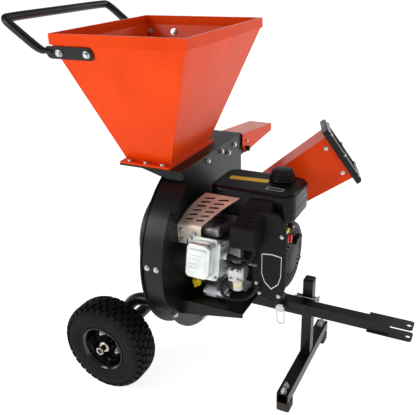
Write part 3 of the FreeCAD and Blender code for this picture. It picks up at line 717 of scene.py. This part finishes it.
def tank():
    """The pressed fuel tank: soft shell, seam flange, filler collar and blank labels."""
    face = frame_of(at(157, 8, 500), AXIS["X"], AXIS["Y"])
    shape = rounded(233, 151, 34, 10)
    shell = slab("fuel_tank_shell", shape, 79, face, TANK, "root", 0.011, 6)
    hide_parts("fuel_tank")
    flange = [(x * 1.006, y * 1.008) for x, y in shape]
    slab("fuel_tank_seam", flange, 3.2, lifted(face, 30), TANK, "root", 0.0009)
    collar = [(579, 25), (585, 25), (587, 27), (588, 31), (586, 34), (581.4, 36), (580, 36)]
    turned("filler_collar", collar, at(205, 50, 0), AXIS["Z"], TANK, "root")
    strip = frame_of(at(126, 12, 579), (1, 0.08, 0), (-0.08, 1, 0))
    slab("tank_strip", rounded(108, 24, 2), 0.5, strip, YELLOW, "root")
    label = frame_of(at(214, -30, 579), (1, -0.05, 0), (0.05, 1, 0))
    plate = slab("tank_label", rounded(46, 17, 2), 0.5, label, LABEL, "root")
    carve(plate, [rounded(43, 14, 1.5)], label, 4)


def fuel_cap():
    """A moulded cap with grip lobes."""
    top = pivot("fuel_cap_turn")
    centre = Vector((top.x, top.y, 0))
    mesh = bmesh.new()
    add_lathe(mesh, [(583, 24.6), (583, 32), (585, 33), (591, 33), (593, 31.5), (593, 24.6)], centre, AXIS["Z"])
    grip = ((592, 29, 2.6), (602, 28.2, 2.6), (604.4, 26.4, 2.0), (605.4, 23, 0.6))
    add_grip(mesh, grip, frame_of(centre, AXIS["X"], AXIS["Y"]), lobes=12, steps=120, sharpness=3)
    cap = piece("fuel_cap_body", mesh, PLASTIC, "fuel_cap", smooth=50)
    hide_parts("fuel_cap")


def recoil():
    """The starter's cover with a ring of cooling louvres, its bolts and its handle."""
    profile = [(238, 91.5), (247, 91.5), (252, 89), (255.5, 83), (257, 74), (257.5, 40), (259, 36), (259, 0.1),
               (250, 0.1), (250, 70), (247, 84), (238, 86)]
    cover = turned("recoil_shell", profile, at(0, 0, DRUM_Z), AXIS["X"], PLASTIC, "root", 96, 40)
    face = frame_of(at(256, 0, DRUM_Z), AXIS["Y"], AXIS["Z"])
    louvres, louvre_circle = 30, 61
    slots = []
    for step in range(louvres):
        angle = math.tau * step / louvres
        middle = (louvre_circle * math.cos(angle), louvre_circle * math.sin(angle))
        slots.append(slot_outline(26, 5, middle, math.degrees(angle) + 12))
    carve(cover, slots, face, 10)
    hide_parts("recoil_cover")
    mesh = bmesh.new()
    bolt_circle = 86
    for step in range(3):
        angle = math.radians(90 + 120 * step)
        seat = at(254, bolt_circle * math.cos(angle), DRUM_Z + bolt_circle * math.sin(angle))
        hex_bolt(mesh, seat, AXIS["X"], 8, 4, 0)
    piece("recoil_bolts", mesh, ZINC, "root", 0.0003, 1)
    middle = (low("recoil_handle") + high("recoil_handle")) / 2
    grip = frame_of(middle - Vector((7.6, 0, 0)) * MM, AXIS["Y"], AXIS["Z"])
    pull = slab("recoil_grip", rounded(51, 15, 7, 6), 15.4, grip, PLASTIC, "recoil_handle", 0.004, 3)
    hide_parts("recoil_handle")


def shroud():
    """The fan housing's side panel with its raised shield-shaped frame."""
    outline = [(178, 512), (204, 546), (250, 544), (268, 512), (273, 488), (273, 340), (263, 306), (241, 286),
               (206, 296), (182, 322)]
    face = frame_of(at(0, -92.5, 0), AXIS["X"], AXIS["Z"])
    panel_depth = 12
    slab("shroud_panel", outline, panel_depth, face, PLASTIC, "root", 0.007, 5)
    shield = [(209, 430), (237, 434), (263, 430), (262, 372), (255, 348), (236, 330), (217, 348), (209, 372)]
    middle = Vector((236, 385))
    inner = [tuple(middle + (Vector(point) - middle) * 0.94) for point in shield]
    border = slab("shield_frame", shield, 0.7, lifted(face, panel_depth), LABEL, "root")
    carve(border, [inner], lifted(face, panel_depth), 6)
    mesh = bmesh.new()
    add_box(mesh, at(230, -63, 486), Vector((44, 56, 24)) * MM)
    piece("control_box", mesh, PLASTIC, "root", 0.004, 3)
    mesh = bmesh.new()
    for x, z in ((196, 340), (262, 486), (203, 312), (256, 314)):
        hex_bolt(mesh, at(x, -104.4, z), -AXIS["Y"], 7, 3.4, 5.4, spin=x)
    piece("shroud_screws", mesh, ZINC, "root", 0.0003, 1)


def carburetor_details():
    """The float bowl, throat, screws, governor rod and spring, and two hoses."""
    bowl = [(322, 0.1), (322, 6), (325, 7), (327, 15), (330, 18), (348, 18.4), (349, 20), (353, 20), (353, 0.1)]
    turned("float_bowl", bowl, at(148, -120, 0), AXIS["Z"], BRASS, "root", 48)
    throat = [(124, 20), (128, 22), (132, 18), (158, 18), (160, 24), (167, 24), (170, 18), (172, 18), (172, 0.1),
              (124, 0.1)]
    turned("carburetor_throat", throat, at(0, -120, 372), AXIS["X"], CAST, "root", 48)
    mesh = bmesh.new()
    hex_bolt(mesh, at(148, -120, 322), -AXIS["Z"], 10, 5, 7)
    for x, z in ((138, 384), (158, 384), (138, 359), (158, 359)):
        hex_bolt(mesh, at(x, -142, z), -AXIS["Y"], 7, 4, 5)
    piece("carburetor_screws", mesh, ZINC, "root", 0.0003, 1)
    rod = ((128, -146, 396), (110, -150, 405), (80, -152, 412), (60, -128, 470))
    wire("governor_rod", [at(*point) for point in rod], 1.2, ZINC, "root")
    loops = []
    coil_radius, points_a_turn = 3.4, 6
    for step in range(60):
        angle = math.tau * step / points_a_turn
        loops.append(at(172 + step * 0.5, -118 + coil_radius * math.cos(angle),
                        400 + coil_radius * math.sin(angle)))
    wire("governor_spring", loops, 0.6, ZINC, "root")
    vent = ((130, -128, 352), (118, -140, 346), (112, -150, 330), (120, -150, 306), (150, -142, 296),
            (178, -128, 300), (196, -118, 318), (204, -112, 340))
    wire("vent_tube", [at(*point) for point in vent], 4.6, RUBBER, "root")
    breather = ((112, -134, 432), (124, -142, 424), (140, -148, 408), (158, -150, 402), (176, -140, 406),
                (190, -122, 420), (196, -106, 450))
    wire("breather_hose", [at(*point) for point in breather], 6, RUBBER, "root")


def crankcase_details():
    """The side cover, the oil unit's ends, and the dipstick, choke lever and switch."""
    mesh = bmesh.new()
    add_box(mesh, at(78, -64, 330), Vector((120, 4, 86)) * MM)
    for x in (22, 60, 100, 136):
        for z in (290, 372):
            hex_bolt(mesh, at(x, -66, z), -AXIS["Y"], 9, 5, 6.5, spin=x)
    piece("sump_cover", mesh, CAST, "root", 0.0008, 2)
    unit_y, unit_z = -120, 294
    mesh = bmesh.new()
    add_rod(mesh, at(62, unit_y, unit_z), at(90, unit_y, unit_z), 15.4 * MM, 40)
    piece("unit_label", mesh, LABEL, "root", 0.0003, 1)
    mesh = bmesh.new()
    for profile in ([(52, 0.1), (52, 12), (54, 15.6), (58, 15.6), (59, 14.6), (60, 0.1)],
                    [(110, 0.1), (110, 15.6), (116, 15.6), (118, 9), (126, 8), (126, 0.1)]):
        add_lathe(mesh, profile, at(0, unit_y, unit_z), AXIS["X"], 40)
    piece("unit_caps", mesh, ZINC, "root")
    mesh = bmesh.new()
    centre = pivot("dipstick_turn")
    add_lathe(mesh, [(-3, 0.1), (-3, 12), (-1, 13), (3, 13), (5.5, 12), (5.5, 0.1)], centre, -AXIS["Y"], 40)
    add_box(mesh, centre - AXIS["Y"] * 9 * MM, Vector((6, 10, 22)) * MM)
    stick = piece("dipstick_cap", mesh, YELLOW, "dipstick", 0.0012, 3)
    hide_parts("dipstick")
    mesh = bmesh.new()
    centre = pivot("choke_lever_turn")
    add_lathe(mesh, [(0.2, 0.1), (0.2, 8), (6, 7), (7, 0.1)], centre, AXIS["X"], 32)
    face = frame_of(centre + Vector((1.4, -17, 0)) * MM, AXIS["Y"], AXIS["Z"])
    add_prism(mesh, rounded(33, 10, 4.6, 6), 5, face)
    lever = piece("choke_handle", mesh, YELLOW, "choke_lever", 0.0014, 3)
    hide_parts("choke_lever")
    mesh = bmesh.new()
    centre = pivot("engine_switch_turn")
    add_lathe(mesh, [(0.2, 0.1), (0.2, 12.4), (3, 12.4), (4, 9), (4, 0.1)], centre, AXIS["X"], 40)
    add_prism(mesh, rounded(8, 24, 3.5, 5), 8, frame_of(centre + Vector((1, 0, 0)) * MM, AXIS["Y"], AXIS["Z"]))
    switch = piece("switch_knob", mesh, RED, "engine_switch", 0.001, 3)
    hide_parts("engine_switch")


# Running gear


def stand_trim():
    """The stand's rubber feet, the studs and nuts on its bar, and the plug in its leg."""
    lowest, highest = low("stand_feet"), high("stand_feet")
    mesh = bmesh.new()
    foot_width, foot_length, foot_height = 36, 40, 28
    for y in (lowest.y + foot_length * MM / 2, highest.y - foot_length * MM / 2):
        face = frame_of(Vector(((lowest.x + highest.x) / 2, y, 0)), AXIS["X"], AXIS["Y"])
        add_prism(mesh, rounded(foot_width, foot_length, 6, 5), foot_height, face)
    feet = piece("feet", mesh, SOLE, "stand", 0.0025, 3)
    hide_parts("stand_feet")
    mesh = bmesh.new()
    for y in (-160, -138, 172, 192):
        seat = at(297, y, 60)
        hex_bolt(mesh, seat, AXIS["Z"], 13, 7, 9, spin=y)
        add_rod(mesh, seat + AXIS["Z"] * 7 * MM, seat + AXIS["Z"] * 15 * MM, 3.6 * MM, 18)
    nuts = piece("foot_nuts", mesh, ZINC, "stand", 0.0003, 1)
    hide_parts("foot_bolts")
    cap_low, cap_high = low("leg_cap"), high("leg_cap")
    centre = (cap_low + cap_high) / 2
    mesh = bmesh.new()
    face = frame_of(Vector((centre.x, centre.y, cap_high.z - 7 * MM)), AXIS["X"], AXIS["Y"])
    for width, depth in ((30, 4), (26, 7)):
        add_prism(mesh, rounded(width, width, 3, 4), depth, face)
    cap = piece("leg_plug", mesh, PLASTIC, "stand", 0.0014, 3)
    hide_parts("leg_cap")


def welds():
    """Beads where the drawbar's clevis plates and the stand are joined."""
    spacing, radius = 0.0022, 0.0021
    seams = {"drawbar": [(471, 525, y, z) for z in (246.6, 215.6) for y in (-15, 15)],
             "stand": [(283, 311, y, 60.6) for y in (21, 49)]}
    for body, lines in seams.items():
        mesh = bmesh.new()
        for start, end, y, z in lines:
            first = at(start, y, z)
            span = at(end, y, z) - first
            count = int(span.length / spacing)
            for step in range(count):
                point = first + span * (step + 0.5) / count
                bmesh.ops.create_icosphere(mesh, subdivisions=1, radius=radius, matrix=Matrix.Translation(point))
        piece(f"{body}_welds", mesh, BLACK, body, smooth=80)


def deflector_trim():
    """The deflector's clamping knob."""
    mesh = bmesh.new()
    grip = ((1, 6, 0), (2, 9, 1.4), (9, 9, 1.6), (12, 7, 0.8), (12.4, 0.4, 0))
    place = frame_of(pivot("deflector_knob_turn"), AXIS["Y"], AXIS["Z"])
    add_grip(mesh, grip, place, lobes=5, steps=60, sharpness=1)
    knob = piece("clamp_knob", mesh, PLASTIC, "deflector_knob", smooth=50)
    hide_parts("deflector_knob")


# Stage


def studio():
    """A pale floor and a round wall far behind it, soft lamps and an even sky; sizes in metres."""
    half_floor, ground_z = 70, -0.0004
    wall_sides, wall_radius, wall_height = 48, 60, 12
    floor = bpy.data.meshes.new("floor")
    floor.from_pydata([(-half_floor, -half_floor, 0), (half_floor, -half_floor, 0), (half_floor, half_floor, 0),
                       (-half_floor, half_floor, 0)], [], [(0, 1, 2, 3)])
    ground = new_object("floor", floor)
    ground.location.z = ground_z
    shader = Shader("floor")
    shader.set(Base_Color=(0.9, 0.9, 0.9, 1), Roughness=0.7, Emission_Color=(1, 1, 1, 1), Emission_Strength=0.8,
               Specular_IOR_Level=0.1)
    floor.materials.append(shader.material)

    wall = bpy.data.meshes.new("backdrop")
    turns = [math.tau * step / wall_sides for step in range(wall_sides)]
    ring = [(wall_radius * math.cos(turn), wall_radius * math.sin(turn), z)
            for z in (ground_z, wall_height) for turn in turns]
    faces = []
    for step in range(wall_sides):
        after = (step + 1) % wall_sides
        faces.append((step, after, after + wall_sides, step + wall_sides))
    wall.from_pydata(ring, [], faces)
    backdrop = new_object("backdrop", wall)
    wall.materials.append(shader.material)

    world = bpy.data.worlds.new("studio")
    world.use_nodes = True
    world.node_tree.nodes["Background"].inputs["Color"].default_value = (1, 1, 1, 1)
    world.node_tree.nodes["Background"].inputs["Strength"].default_value = 0.21
    bpy.context.scene.world = world
    bpy.context.scene.view_settings.view_transform = "Standard"
    # Each lamp: name, place, width and power; all of them face the middle of the machine
    lights = (("key", (-2.2, -2.6, 2.0), 1.4, 44), ("fill", (2.8, -2.0, 1.4), 1.2, 3.5),
              ("top", (0, 0.4, 3.4), 1.8, 9), ("rim", (1.0, 2.8, 2.2), 1.6, 15))
    aim = Vector((0, 0, 0.45))
    for name, place, width, power in lights:
        lamp = bpy.data.lights.new(name, "AREA")
        lamp.size = width
        lamp.energy = power
        obj = new_object(name, lamp)
        obj.location = place
        obj.rotation_euler = (aim - Vector(place)).to_track_quat("-Z", "Y").to_euler()


def camera():
    """The viewing angle: turned about Z, tipped down, and rolled slightly."""
    turn, tip, roll = math.radians(27.2), math.radians(23.5), math.radians(-1.7)
    forward = Vector((-math.sin(turn) * math.cos(tip), math.cos(turn) * math.cos(tip), -math.sin(tip)))
    level = Vector((math.cos(turn), math.sin(turn), 0))
    upright = level.cross(forward)
    right = level * math.cos(roll) + upright * math.sin(roll)
    up = upright * math.cos(roll) - level * math.sin(roll)
    lens = bpy.data.cameras.new("camera")
    lens.sensor_width = 36
    lens.lens = 50.56
    obj = new_object("camera", lens)
    matrix = Matrix((right, up, -forward)).transposed().to_4x4()
    matrix.translation = at(692, -1335.9, 1134)
    obj.matrix_world = matrix
    bpy.context.scene.camera = obj


camera()
studio()
dress_nodes()
for name, way in (("near", -1), ("far", 1)):
    tyre(name)
    rim(name, way)
for make in (housing_trim, hopper_trim, chute_trim, valve_cover, head_details, guard, muffler_body,
             filter_cover, tank, fuel_cap, recoil, shroud, carburetor_details, crankcase_details, stand_trim,
             welds, deflector_trim):
    make()
